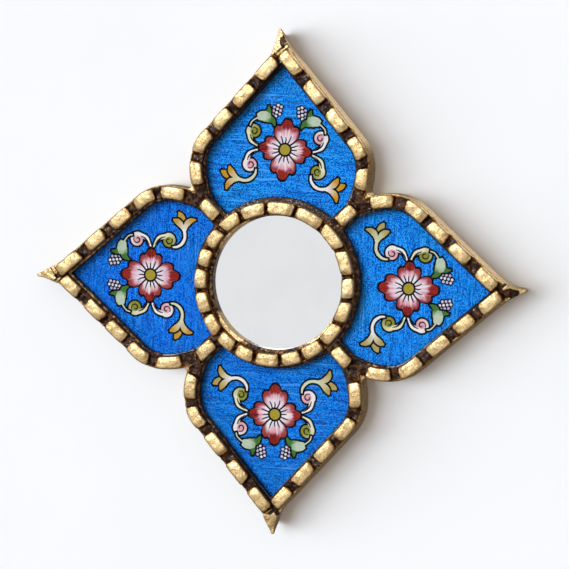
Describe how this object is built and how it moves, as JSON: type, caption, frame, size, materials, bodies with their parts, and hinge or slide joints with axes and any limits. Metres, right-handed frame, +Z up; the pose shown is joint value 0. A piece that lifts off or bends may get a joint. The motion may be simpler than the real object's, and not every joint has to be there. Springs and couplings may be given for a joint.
{
  "type": "wall mirror",
  "caption": "Flower-shaped wall mirror: a round mirror in a carved gilded wood frame with petals of reverse-painted blue floral glass, hung by a ring.",
  "frame": {"origin": "centre of the round mirror, on the wall plane behind the frame", "axes": "+X to the viewer's right, +Z up the wall, +Y into the wall, so the front faces -Y"},
  "size_m": [0.3, 0.016, 0.3],
  "materials": {
    "gilded_wood": "gold leaf over wood, rubbed, with dark brown antiquing in the notches",
    "clear_glass": "clear polished glass, painted on its back face",
    "blue_paint": "brushed cobalt blue paint with flower ornament",
    "mirror_glass": "silvered glass",
    "fibreboard": "bare brown fibreboard",
    "bright_steel": "bright drawn steel",
    "brassed_steel": "brass-plated steel strip and wire"
  },
  "bodies": {
    "frame": {"base_frame": "gilded_wood", "mirror_ring": "gilded_wood", "round_mirror": "mirror_glass", "back_board": "fibreboard", "board_brads": "bright_steel", "hanger_strap": "brassed_steel", "hanger_screw": "bright_steel", "top_petal_right_rail": "gilded_wood", "top_petal_left_rail": "gilded_wood", "right_petal_lower_rail": "gilded_wood", "right_petal_upper_rail": "gilded_wood", "bottom_petal_left_rail": "gilded_wood", "bottom_petal_right_rail": "gilded_wood", "left_petal_upper_rail": "gilded_wood", "left_petal_lower_rail": "gilded_wood", "upper_right_spoke": "gilded_wood", "lower_right_spoke": "gilded_wood", "lower_left_spoke": "gilded_wood", "upper_left_spoke": "gilded_wood", "top_finial": "gilded_wood", "right_finial": "gilded_wood", "bottom_finial": "gilded_wood", "left_finial": "gilded_wood", "top_pane": "clear_glass", "right_pane": "clear_glass", "bottom_pane": "clear_glass", "left_pane": "clear_glass", "top_paint_coat": "blue_paint", "right_paint_coat": "blue_paint", "bottom_paint_coat": "blue_paint", "left_paint_coat": "blue_paint"},
    "ring": {"hanger_ring": "brassed_steel"}
  },
  "joints": [
    {"name": "ring_swing", "type": "hinge", "parent": "frame", "child": "ring", "pos_m": [0, -0.00155, 0.0524], "axis": [-1, 0, 0], "range_deg": [0, 170]}
  ]
}
